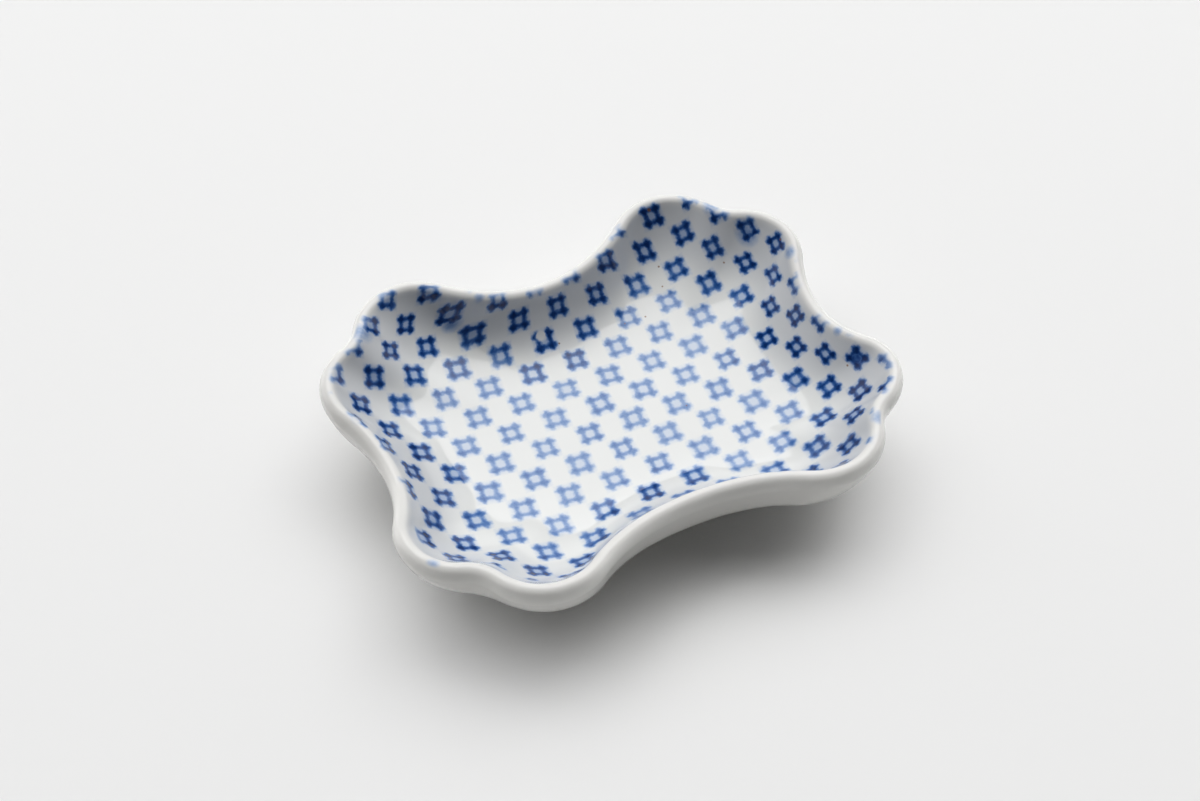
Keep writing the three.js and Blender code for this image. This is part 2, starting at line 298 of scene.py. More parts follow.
def section_tree():
    """Draws the dish's section at every column of the crest line, bare or with a coat on it."""
    tree = bpy.data.node_groups.new("dish_section", "GeometryNodeTree")
    face = tree.interface
    face.new_socket("Geometry", in_out="OUTPUT", socket_type="NodeSocketGeometry")
    face.new_socket("Geometry", in_out="INPUT", socket_type="NodeSocketGeometry")
    face.new_socket("Finish", in_out="INPUT", socket_type="NodeSocketMaterial")
    face.new_socket("Glazed", in_out="INPUT", socket_type="NodeSocketBool")
    for name, value in SECTION_SIZES.items():
        kind = "NodeSocketInt" if isinstance(value, int) else "NodeSocketFloat"
        face.new_socket(name, in_out="INPUT", socket_type=kind)
    given = tree.nodes.new("NodeGroupInput")
    size = {socket.name: Term(socket) for socket in given.outputs if socket.name}

    lip_start = size["Inside Rows"]
    wall_start = lip_start + size["Lip Rows"]
    foot_start = wall_start + size["Wall Rows"]
    rows = foot_start + size["Foot Rows"] + 1
    columns = size["Columns"]
    grid = put(tree, "GeometryNodeMeshGrid", 1.0, 1.0, columns + 1, rows)
    index = put(tree, "GeometryNodeInputIndex")
    column = (index / rows).does("FLOOR")
    row = index - column * rows
    around = column % columns

    # Each share runs from 0 to 1 over its own rows, and holds its end values before and after.
    inside_share = (row / lip_start).within(0.0, 1.0)
    lip_share = ((row - lip_start) / size["Lip Rows"]).within(0.0, 1.0)
    wall_share = ((row - wall_start) / size["Wall Rows"]).within(0.0, 1.0)
    foot_share = ((row - foot_start) / size["Foot Rows"]).within(0.0, 1.0)

    def on_crest(field, kind):
        return put(
            tree, "GeometryNodeSampleIndex", size["Geometry"], field, around, data_type=kind
        )

    def stored(name, kind):
        field = put(tree, "GeometryNodeInputNamedAttribute", name, data_type=kind)
        return on_crest(field, kind)

    position = put(tree, "GeometryNodeInputPosition")
    crest_x, crest_y, _ = on_crest(position, "FLOAT_VECTOR").parts()
    out_x, out_y, _ = stored("outward", "FLOAT_VECTOR").parts()
    bridge_x, bridge_y, _ = stored("bridge", "FLOAT_VECTOR").parts()
    dip = stored("dip", "FLOAT")
    crest_z = size["Crest Height"] - size["Rim Dip"] * dip

    # The foot's oval is what the outer wall comes down to. The wall also fills out the notch.
    oval_turn = (crest_y / size["Rim Width"]).does("ARCTAN2", crest_x / size["Rim Length"])
    oval_cos, oval_sin = oval_turn.does("COSINE"), oval_turn.does("SINE")
    half_length, half_width = size["Foot Length"] / 2, size["Foot Width"] / 2
    foot_x, foot_y = half_length * oval_cos, half_width * oval_sin
    under_z, outer_band = size["Underside Height"], size["Outer Band"]
    band_power, fill = size["Outer Band Power"], size["Notch Fill"]
    pull_x = crest_x - foot_x - bridge_x * fill * band_power
    pull_y = crest_y - foot_y - bridge_y * fill * band_power
    drop = (crest_z - under_z - outer_band) * size["Outer Power"] + outer_band * band_power
    radius, shoulder = size["Lip Radius"], size["Lip Shoulder"]
    pull = (pull_x * out_x + pull_y * out_y) * shoulder / radius
    outer_lean = pull.does("ARCTAN2", drop)

    # The lip rolls over from the inside to a longer shoulder outside, and is as steep as the walls
    # at its ends.
    floor_z = size["Floor Height"]
    power = size["Lobe Power"] + (size["Valley Power"] - size["Lobe Power"]) * dip
    rise = (crest_z - floor_z) * power
    inner_lean = (crest_x * out_x + crest_y * out_y).does("ARCTAN2", rise)
    inner_half = (1.0 - lip_share * 2.0).does("MAXIMUM", 0.0)
    outer_half = (lip_share * 2.0 - 1.0).does("MAXIMUM", 0.0)
    quarter = math.pi / 2
    turn = quarter + inner_half * (quarter - inner_lean)
    turn = turn - outer_half * (outer_lean + quarter)
    reach = radius * turn.does("COSINE")
    lip_x = crest_x + out_x * reach
    lip_y = crest_y + out_y * reach
    fall = radius + (shoulder - radius) * lip_share.does("GREATER_THAN", 0.5)
    lip_z = crest_z - fall + fall * turn.does("SINE")

    # The inside is the lip's inner edge drawn in to the middle of the floor.
    share = (inside_share * quarter).does("SINE")
    bowl_z = floor_z + (lip_z - floor_z) * share**power
    bowl_x, bowl_y = lip_x * share, lip_y * share

    # The outer wall draws the lip's outer edge in to the oval top of the foot. Before its rows it
    # leaves the inside and the lip as they are.
    hold = (wall_share * quarter).does("COSINE").does("MAXIMUM", 0.0)
    band_hold = hold**band_power
    filled = (1.0 - band_hold) * fill
    curve = (lip_z - under_z - outer_band) * hold ** size["Outer Power"]
    wall_z = bowl_z - lip_z + under_z + curve + outer_band * band_hold
    wall_x = foot_x + (bowl_x + bridge_x * filled - foot_x) * hold
    wall_y = foot_y + (bowl_y + bridge_y * filled - foot_y) * hold

    # A glazed section runs on down the foot to its bare edge, and the clay one across the base.
    glazed = size["Glazed"]
    lean_x, lean_y = oval_cos / half_length, oval_sin / half_width
    lean = (lean_x * lean_x + lean_y * lean_y).does("SQRT")
    end_x = (foot_x - lean_x / lean * size["Foot Side Inset"]) * glazed
    end_y = (foot_y - lean_y / lean * size["Foot Side Inset"]) * glazed
    end_z = under_z + (size["Bare Edge"] - under_z) * glazed
    point = put(
        tree,
        "ShaderNodeCombineXYZ",
        (wall_x + (end_x - wall_x) * foot_share) * MM,
        (wall_y + (end_y - wall_y) * foot_share) * MM,
        (wall_z + (end_z - wall_z) * foot_share) * MM,
    )
    clay = put(tree, "GeometryNodeSetPosition", grid, None, point)

    # The coat stands square to the clay, upright at the middle of the floor where the columns meet,
    # and thins to nothing at the bare edge.
    def near_point(columns_on, rows_on):
        near_column = (around + columns_on + columns) % columns
        near_row = (row + rows_on).does("MAXIMUM", 0.0).does("MINIMUM", rows - 1)
        near = near_column * rows + near_row
        return put(tree, "GeometryNodeFieldAtIndex", position, near, data_type="FLOAT_VECTOR")

    down = near_point(0, 1).vector("SUBTRACT", near_point(0, -1))
    along = near_point(1, 0).vector("SUBTRACT", near_point(-1, 0))
    square = down.vector("CROSS_PRODUCT", along).vector("NORMALIZE")
    at_middle = row.does("LESS_THAN", 0.5)
    square = put(tree, "ShaderNodeMix", at_middle, square, (0.0, 0.0, 1.0), data_type="VECTOR")
    thinning = foot_share.within(COAT_THINS_FROM, 1.0)
    thickness = size["Coat"] * (1.0 - thinning * thinning).does("SQRT") * MM
    stand_off = put(tree, "ShaderNodeVectorMath", square, operation="SCALE")
    tree.links.new(thickness.socket, stand_off.socket.node.inputs["Scale"])
    coat = put(tree, "GeometryNodeSetPosition", clay, None, None, stand_off)

    # The print goes on as a sheet that keeps its length up the wall: its place on the sheet is
    # the way from the middle of the floor, and its third number the way from the lip's crest.
    step = near_point(0, 0).vector("DISTANCE", near_point(0, -1))
    way = put(tree, "GeometryNodeAccumulateField", step, column) / MM
    crest_row = lip_start + size["Lip Rows"] / 2
    to_crest = put(tree, "GeometryNodeFieldAtIndex", way, around * rows + crest_row)
    point_x, point_y, _ = position.parts()
    direction = put(tree, "ShaderNodeCombineXYZ", point_x, point_y, 0.0).vector("NORMALIZE")
    direction_x, direction_y, _ = direction.parts()
    sheet = put(
        tree, "ShaderNodeCombineXYZ", direction_x * way, direction_y * way, way - to_crest
    )
    coat = put(
        tree,
        "GeometryNodeStoreNamedAttribute",
        put(tree, "GeometryNodeFlipFaces", coat),
        None,
        "print_sheet",
        sheet,
        data_type="FLOAT_VECTOR",
        domain="POINT",
    )
    both = tree.nodes.new("GeometryNodeJoinGeometry")
    tree.links.new(coat.socket, both.inputs[0])
    tree.links.new(clay.socket, both.inputs[0])
    bare = put(tree, "GeometryNodeFlipFaces", clay)
    chosen = put(
        tree, "GeometryNodeSwitch", glazed, bare, Term(both.outputs[0]), input_type="GEOMETRY"
    )
    closed = put(tree, "GeometryNodeMergeByDistance", chosen, None, MERGE_DISTANCE * MM)
    smooth = put(tree, "GeometryNodeSetShadeSmooth", closed)
    whole = put(tree, "GeometryNodeRealizeInstances", smooth)
    finished = put(tree, "GeometryNodeSetMaterial", whole, None, size["Finish"])
    result = tree.nodes.new("NodeGroupOutput")
    tree.links.new(finished.socket, result.inputs[0])
    return tree


CREST = crest_line()
SECTION = section_tree()


def sectioned_piece(name, finish, glazed):
    """A piece made by the section's rule, as a plain mesh."""
    piece = bpy.data.objects.new(name, CREST.copy())
    bpy.context.scene.collection.objects.link(piece)
    rule = piece.modifiers.new("section", "NODES")
    rule.node_group = SECTION
    values = {**SECTION_SIZES, "Finish": finish, "Glazed": glazed}
    for socket in SECTION.interface.items_tree:
        if socket.in_out == "INPUT" and socket.name in values:
            rule[socket.identifier] = values[socket.name]
    ready = bpy.context.evaluated_depsgraph_get()
    mesh = bpy.data.meshes.new_from_object(
        piece.evaluated_get(ready), preserve_all_data_layers=True, depsgraph=ready
    )
    mesh.name = name
    # The rule can leave an empty slot in front of the finish.
    while mesh.materials[0] is None:
        mesh.materials.pop(index=0)
    piece.modifiers.clear()
    piece.data = mesh
    return piece


def effect(name, takes, gives):
    """A shader group: its tree, its inputs as terms, and a function that sets its outputs."""
    tree = bpy.data.node_groups.new(name, "ShaderNodeTree")
    for label, value in takes.items():
        kind = "NodeSocketColor" if isinstance(value, tuple) else "NodeSocketFloat"
        socket = tree.interface.new_socket(label, in_out="INPUT", socket_type=kind)
        socket.default_value = value
    for label, kind in gives.items():
        tree.interface.new_socket(label, in_out="OUTPUT", socket_type=kind)
    given = tree.nodes.new("NodeGroupInput")
    result = tree.nodes.new("NodeGroupOutput")

    def give(label, term):
        tree.links.new(term.socket, result.inputs[label])

    return tree, {label: Term(given.outputs[label]) for label in takes}, give


def noise(tree, place, scale, detail):
    """Soft chance over a place in millimetres, with scale as its waves in one millimetre."""
    values = {"Vector": place, "Scale": scale, "Detail": detail}
    return put(tree, "ShaderNodeTexNoise", named=values)


def mixed(tree, share, first, second):
    """The first colour with this share of the second in its place."""
    return put(tree, "ShaderNodeMix", share, first, second, data_type="RGBA")


def in_millimetres(tree):
    """The piece's own place, in millimetres."""
    place = Term(tree.nodes.new("ShaderNodeTexCoord").outputs["Object"])
    return place.vector("MULTIPLY", (1 / MM, 1 / MM, 1 / MM))


def fired_clay():
    """Unglazed porcelain: a close, dry grain with a little warm and grey in it."""
    tree, given, give = effect(
        "fired_clay",
        {
            "Clay": (0.70, 0.68, 0.63, 1),
            "Stain": (0.50, 0.45, 0.38, 1),
            "Stain Share": 0.2,
            "Cloud Scale": 0.25,
            "Grain Scale": 5.0,
            "Dot Scale": 2.4,
        },
        {"Colour": "NodeSocketColor", "Grain": "NodeSocketFloat"},
    )
    place = in_millimetres(tree)
    cloud = noise(tree, place, given["Cloud Scale"], detail=4.0).eased(*CLOUD_RANGE)
    grain = noise(tree, place, given["Grain Scale"], detail=3.0)
    dotted = noise(tree, place, given["Dot Scale"], detail=1.0).eased(*DOT_RANGE)
    share = (cloud + dotted) / 2 * given["Stain Share"]
    give("Colour", mixed(tree, share, given["Clay"], given["Stain"]))
    give("Grain", grain + cloud * CLOUD_HEIGHT)
    return tree


def new_material(name, **sockets):
    """A material with a plain shader whose even values are set on the shader itself."""
    material = bpy.data.materials.new(name)
    material.use_nodes = True
    tree = material.node_tree
    shader = tree.nodes["Principled BSDF"]
    for label, value in sockets.items():
        shader.inputs[label.replace("_", " ")].default_value = value
    return material, tree, shader


def placed(tree, group, **values):
    """A shader group in a material, with that material's own values."""
    node = tree.nodes.new("ShaderNodeGroup")
    node.node_tree = group
    for label, value in values.items():
        node.inputs[label.replace("_", " ")].default_value = value
    return {socket.name: Term(socket) for socket in node.outputs}


def feed(tree, node, **terms):
    """Leads terms into the sockets of these names."""
    for label, term in terms.items():
        tree.links.new(term.socket, node.inputs[label.replace("_", " ")])


def raise_surface(tree, shader, height, depth):
    """A bump of this depth in millimetres for a height of 1."""
    bump = put(tree, "ShaderNodeBump", named={"Distance": depth * MM, "Height": height})
    feed(tree, shader, Normal=bump)


FIRED_CLAY = fired_clay()
biscuit, biscuit_tree, biscuit_shader = new_material("biscuit_porcelain", Roughness=0.7)
biscuit_clay = placed(biscuit_tree, FIRED_CLAY, Stain_Share=0.1)
feed(biscuit_tree, biscuit_shader, Base_Color=biscuit_clay["Colour"])
raise_surface(biscuit_tree, biscuit_shader, biscuit_clay["Grain"], depth=0.02)

clay_shell = sectioned_piece("clay_shell", biscuit, False)
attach(clay_shell, "root")
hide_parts("porcelain_body")


# The foot: an oval ring of the same clay, luted under the floor before the dish is dried. Its edge
# is wiped clean of glaze so that it does not stick to the kiln shelf, and stays dry and a little
# stained from use.

FOOT_WALL = 3.4
FOOT_EDGE_ROUND = 0.6
FOOT_COLUMNS = 240
EDGE_STEPS = 6
INNER_SIDE_INSET = FOOT_WALL - FOOT_SIDE_INSET


def oval_ring(inset, height):
    """The foot's oval outline moved in by inset, at this height."""
    ring = []
    for step in range(FOOT_COLUMNS):
        turn = math.tau * step / FOOT_COLUMNS
        outward = Vector((math.cos(turn) / FOOT_LENGTH, math.sin(turn) / FOOT_WIDTH)).normalized()
        x = FOOT_LENGTH / 2 * math.cos(turn) - outward.x * inset
        y = FOOT_WIDTH / 2 * math.sin(turn) - outward.y * inset
        ring.append((x * MM, y * MM, height * MM))
    return ring


def oval_piece(name, sections, closed, finish):
    """A solid through oval rings. An open section is closed by a point on the axis at each end."""
    points = [point for inset, height in sections for point in oval_ring(inset, height)]
    starts = [ring * FOOT_COLUMNS for ring in range(len(sections))]
    pairs = list(zip(starts, starts[1:]))
    if closed:
        pairs.append((starts[-1], starts[0]))
    faces = []
    for step in range(FOOT_COLUMNS):
        beside = (step + 1) % FOOT_COLUMNS
        faces += [(a + step, a + beside, b + beside, b + step) for a, b in pairs]
    ends = [] if closed else [(starts[0], sections[0]), (starts[-1], sections[-1])]
    for start, (_, height) in ends:
        middle = len(points)
        points.append((0, 0, height * MM))
        for step in range(FOOT_COLUMNS):
            faces.append((middle, start + step, start + (step + 1) % FOOT_COLUMNS))
    mesh = bpy.data.meshes.new(name)
    mesh.from_pydata(points, [], faces)
    shaped = bmesh.new()
    shaped.from_mesh(mesh)
    bmesh.ops.recalc_face_normals(shaped, faces=shaped.faces)
    shaped.to_mesh(mesh)
    shaped.free()
    mesh.shade_smooth()
    mesh.materials.append(finish)
    piece = bpy.data.objects.new(name, mesh)
    bpy.context.scene.collection.objects.link(piece)
    return piece


def rounded(centre_inset, centre_height, radius, first, last):
    """Points of a rounded corner in the section, between two angles in degrees."""
    points = []
    for step in range(EDGE_STEPS + 1):
        turn = math.radians(first + (last - first) * step / EDGE_STEPS)
        inset = centre_inset + radius * math.cos(turn)
        points.append((inset, centre_height + radius * math.sin(turn)))
    return points


foot_section = [
    (0, UNDERSIDE_HEIGHT),
    (FOOT_SIDE_INSET / 2, (UNDERSIDE_HEIGHT + BARE_EDGE) / 2),
    (FOOT_SIDE_INSET, BARE_EDGE),
    *rounded(FOOT_TAPER + FOOT_EDGE_ROUND, FOOT_EDGE_ROUND, FOOT_EDGE_ROUND, 180, 270),
    (FOOT_WALL / 2, 0),
    *rounded(
        FOOT_WALL - FOOT_TAPER - FOOT_EDGE_ROUND, FOOT_EDGE_ROUND, FOOT_EDGE_ROUND, 270, 360
    ),
    (INNER_SIDE_INSET, BARE_EDGE),
    (FOOT_WALL, UNDERSIDE_HEIGHT),
]
dry_edge, dry_tree, dry_shader = new_material("dry_foot_edge", Roughness=0.85)
dry_clay = placed(dry_tree, FIRED_CLAY, Clay=(0.66, 0.62, 0.54, 1), Stain_Share=0.6)
feed(dry_tree, dry_shader, Base_Color=dry_clay["Colour"])
raise_surface(dry_tree, dry_shader, dry_clay["Grain"], depth=0.05)

clay_foot = oval_piece("clay_foot", foot_section, True, dry_edge)
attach(clay_foot, "root")
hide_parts("foot_ring")


# The print and the glaze: cobalt figures, a traditional well crib in half-drop repeat, are laid on
# the fired clay from a sheet, and the whole dish is dipped in clear glaze. The blue bleeds a little
# into the glaze, and the sheet reaches up the wall to the foot of the lip.

# The repeat on the flat sheet, and how far the sheet and the wet ink stray from it.
SHEET_ORIGIN = (-0.240, 4.338, 0.0)
COLUMN_STEP = (6.310, -3.127, 0.0)
ROW_STEP = (4.666, 5.421, 0.0)
COLUMN_DROP = 0.5
WANDER = (0.9, 0.9, 0.0)
WANDER_SCALE = 0.06
CREEP = (0.55, 0.55, 0.0)
CREEP_SCALE = 1.7

# One figure is two lying and two standing bars. Each figure is turned and drawn in by chance, and
# drawn in further on the wall, where its bars are broader.
FIGURE_SEED = 7.0
FIGURE_TURN = math.radians(5.7)
TURN_SPREAD = 0.14
DRAWN_IN = 0.95
DRAWN_IN_SPREAD = 0.1
DRAWN_IN_ON_WALL = 0.08
BAR_OFFSET_ACROSS = 1.21
BAR_OFFSET_UP = 1.27
BAR_REACH_ACROSS = 2.22
BAR_REACH_UP = 2.30
BAR_HALF = 0.24
BAR_HALF_ON_WALL = 0.06
BAR_FLARE = 0.14
FLARE_RUN = (0.2, 1.1)
BAR_TAPER = 0.12
TAPER_RUN = (1.4, 2.2)
BAR_BLEED = 0.50
CROSSING_ON_WALL = 0.3
HAZE_REACH = 1.7

# The strength of the ink, where 1 is a full coat of cobalt: on the floor, what the wall adds, the
# chance from figure to figure, the mottle within one, and what the faults below come to.
FLOOR_INK = 0.41
WALL_INK = 0.56
FIGURE_INK = 0.84
FIGURE_INK_SPREAD = 0.32
MOTTLE_SCALE = 0.9
MOTTLE_RANGE = (0.25, 0.65)
MOTTLE = 0.6
MOTTLE_SPREAD = 0.5
HEAVY_INK = 0.28
LIFTED_SHARE = 0.66
FLOOR_HAZE = 0.07
WALL_HAZE = 0.08
BLOT_INK = 0.9
SMEAR_INK = 0.34
TRACE_INK = 0.24
MOST_INK = 1.3

# How the print changes with the way from the lip's crest, which is below zero inside the dish.
WALL_BEGINS = (-24.0, -9.0)
SAG_BEGINS = (-14.0, -2.0)
SAG_STRETCH = 0.055
PRINT_ENDS = (-0.2, -2.8)
STRAY_INK_ENDS = (0.4, -0.6)
STRAY_INK_SHARE = 0.03
TRACE_ENDS = (0.9, 0.0)
SPECKS_END = (1.6, 1.4)
RAGGEDNESS = 1.6
RAGGED_SCALE = 0.22

# The sheet was short towards one side, in two steps, and reached a little higher at the back.
SHORT_SIDE = (-0.447, -0.895)
SHORT_FROM, SHORT_BY = (20.0, 36.0), 3.4
SHORTER_FROM, SHORTER_BY = (38.0, 50.0), 3.2
HIGHER_FROM, HIGHER_BY = (26.0, 40.0), 0.6

# Faults of the print and the clay, each a place on the sheet and a radius: blots and smears of
# ink, traces carried over the lip, gaps, figures that took too much ink or lifted off again, parts
# of the wall where the sheet sagged, and specks of iron.
BLOTS = [(46.0, -14.8, 2.0)]
SMEARS = [(43.7, 24.1, 3.2), (-19.5, 31.2, 2.2)]
TRACES = [
    (-39.6, 32.1, 3.0),
    (39.6, 32.1, 2.6),
    (39.6, -32.1, 2.2),
    (-47.6, -25.4, 1.6),
    (48.1, -8.3, 1.4),
    (50.2, 14.9, 2.0),
    (-15.3, 35.0, 1.5),
]
GAPS = [(-3.9, 22.6, 1.5), (45.2, 22.0, 1.6)]
HEAVY = [(-20.8, 22.8, 3.2), (-8.2, 16.0, 3.4), (-10.3, -17.8, 3.4)]
LIFTED = [(-6.3, -23.8, 3.6), (2.4, -24.6, 4.2), (11.0, -25.0, 4.2)]
SAGS = [(-22.0, 36.0, 26.0), (50.0, 4.0, 34.0)]
SPECKS = [
    (27.8, 37.9, 0.50),
    (35.8, 21.7, 0.28),
    (24.3, 27.7, 0.28),
    (17.0, 19.4, 0.26),
    (23.0, 23.8, 0.24),
    (43.5, -14.0, 0.34),
    (49.8, 19.0, 0.36),
    (13.7, -3.1, 0.22),
    (12.7, 19.6, 0.20),
    (-1.0, 20.0, 0.26),
]
SPECK_SHARE = 0.8

# The share of red, green and blue light that a full coat of cobalt lets through. As the coat gets
# thicker, it takes a little less green and a little more blue.
COBALT_PASSES = (0.0122, 0.046, 0.26)
GREEN_EASING = 0.1
BLUE_POWER = 1.2
IRON_BROWN = (0.20, 0.09, 0.03, 1)

# The porcelain under the glaze, from the floor outwards, with painted light and shade in it. Each
# tone takes over from the one before between two distances from the lip's crest.
PORCELAIN_FLOOR = (0.715, 0.725, 0.715, 1)
PORCELAIN_AND_PAINTED_LIGHT_TONES = {
    # Wall: darker and bluer. The blue is cobalt bled into the glaze; the darkening is painted shade
    # on the inner walls.
    "wall": (-18.0, -7.0, (0.55, 0.565, 0.585, 1)),
    "lip": (-2.6, -0.6, (0.725, 0.72, 0.70, 1)),
    # Edge: painted light, a bright band just past the crest on the lip's outer shoulder.
    "edge": (0.0, 1.1, (0.86, 0.855, 0.83, 1)),
    # Outside: lighter than the floor, as painted light on the outer wall.
    "outside": (1.6, 4.2, (0.77, 0.765, 0.74, 1)),
}
CLOUDED_GLAZE = (0.60, 0.60, 0.57, 1)
CLOUDED_SHARE = 0.10

# The film of glaze: its fine orange peel, its pinholes, which some cells of a pattern have, and how
# smooth it is between them.
PEEL_HEIGHT = 0.05
PINHOLE_CELLS = 0.72
PINHOLE_RADIUS = 0.045
PINHOLE_DEPTH = 0.15
PINHOLE_ROUGHNESS = 0.3
PINHOLE_TONE = 0.6
LEAST_ROUGHNESS = 0.01
ROUGHNESS_SPREAD = 0.03
TONE_RANGE = (0.3, 0.75)


def glaze_film():
    """What any clear glaze on this dish shows: a slow ripple, pinholes and a breath of tone."""
    tree, given, give = effect(
        "glaze_film",
        {
            "Ripple Scale": 0.12,
            "Peel Scale": 0.9,
            "Gloss Scale": 0.35,
            "Tone Scale": 0.07,
            "Pinhole Scale": 0.22,
            "Pinholes": 1.0,
        },
        {"Height": "NodeSocketFloat", "Roughness": "NodeSocketFloat", "Tone": "NodeSocketFloat"},
    )
    place = in_millimetres(tree)
    ripple = noise(tree, place, given["Ripple Scale"], detail=1.5)
    orange_peel = noise(tree, place, given["Peel Scale"], detail=1.0)
    dulling = noise(tree, place, given["Gloss Scale"], detail=3.0)
    cloud = noise(tree, place, given["Tone Scale"], detail=3.0).eased(*TONE_RANGE)
    cells = {"Vector": place, "Scale": given["Pinhole Scale"]}
    spots = put(tree, "ShaderNodeTexVoronoi", named=cells)
    picked = spots.beside("Color").parts()[0].does("GREATER_THAN", PINHOLE_CELLS)
    pit = spots.within(PINHOLE_RADIUS, 0.0) * picked * given["Pinholes"]
    roughness = dulling * ROUGHNESS_SPREAD + LEAST_ROUGHNESS + pit * PINHOLE_ROUGHNESS
    give("Height", ripple + orange_peel * PEEL_HEIGHT - pit * PINHOLE_DEPTH)
    give("Roughness", roughness)
    give("Tone", cloud + pit * PINHOLE_TONE)
    return tree


GLAZE_FILM = glaze_film()


def dot(term, across):
    """How far a place lies in a level direction."""
    return term.vector("DOT_PRODUCT", (*across, 0.0))


def spots_on(tree, sheet, spots, softness):
    """1 in any of these spots, each a place on the sheet and a radius, and softer at the edge."""
    found = None
    for x, y, radius in spots:
        distance = sheet.vector("DISTANCE", (x, y, 0.0))
        spot = distance.eased(radius, radius * (1 - softness))
        found = spot if found is None else found.does("MAXIMUM", spot)
    return found


def strayed(tree, sheet, scale, detail):
    """A slow shift over the sheet, half of it to either side."""
    shift = noise(tree, sheet, scale, detail).beside("Color")
    return shift.vector("SUBTRACT", (0.5, 0.5, 0.5))


def printed_figures(tree, sheet, on_wall):
    """How much of a bar's ink is at each place, the haze in and round its figure, a number for the
    figure's ink, and the place on the sheet as the ink crept."""
    area = COLUMN_STEP[0] * ROW_STEP[1] - COLUMN_STEP[1] * ROW_STEP[0]
    wander = strayed(tree, sheet, WANDER_SCALE, detail=1.0)
    creep = strayed(tree, sheet, CREEP_SCALE, detail=2.0)
    laid = sheet.vector("SUBTRACT", SHEET_ORIGIN)
    laid = wander.vector("MULTIPLY_ADD", WANDER, laid)
    laid = creep.vector("MULTIPLY_ADD", CREEP, laid)
    across = dot(laid, (ROW_STEP[1] / area, -ROW_STEP[0] / area))
    up = dot(laid, (-COLUMN_STEP[1] / area, COLUMN_STEP[0] / area))
    column = across.does("ROUND")
    drop = up - column * COLUMN_DROP
    row = drop.does("ROUND")
    figure = put(tree, "ShaderNodeCombineXYZ", column, row, FIGURE_SEED)
    chance = put(tree, "ShaderNodeTexWhiteNoise", figure, noise_dimensions="3D")
    turn_chance, size_chance, ink_chance = chance.beside("Color").parts()

    from_column, from_row = across - column, drop - row
    off_x = from_column * COLUMN_STEP[0] + from_row * ROW_STEP[0]
    off_y = from_column * COLUMN_STEP[1] + from_row * ROW_STEP[1]
    turn = FIGURE_TURN + (turn_chance - 0.5) * TURN_SPREAD
    cos, sin = turn.does("COSINE"), turn.does("SINE")
    drawn_in = DRAWN_IN + size_chance * DRAWN_IN_SPREAD + on_wall * DRAWN_IN_ON_WALL
    across = ((off_x * cos - off_y * sin) * drawn_in).does("ABSOLUTE")
    up = ((off_x * sin + off_y * cos) * drawn_in).does("ABSOLUTE")

    def bar(offset, reach, aside, along):
        half = BAR_HALF + on_wall * BAR_HALF_ON_WALL + along.eased(*FLARE_RUN) * BAR_FLARE
        half = half - along.eased(*TAPER_RUN) * BAR_TAPER
        from_middle = aside - offset
        wide = (from_middle + half).eased(-BAR_BLEED, BAR_BLEED)
        narrow = (from_middle - half).eased(-BAR_BLEED, BAR_BLEED)
        return (wide - narrow) * along.eased(reach + BAR_BLEED, reach - BAR_BLEED)

    lying = bar(BAR_OFFSET_UP, BAR_REACH_ACROSS, up, across)
    standing = bar(BAR_OFFSET_ACROSS, BAR_REACH_UP, across, up)
    bars = lying + standing - lying * standing * (1.0 - on_wall * CROSSING_ON_WALL)
    beyond = (across - BAR_OFFSET_ACROSS).does("MAXIMUM", up - BAR_OFFSET_UP)
    return bars, beyond.eased(HAZE_REACH, 0.0), ink_chance, laid.vector("ADD", SHEET_ORIGIN)


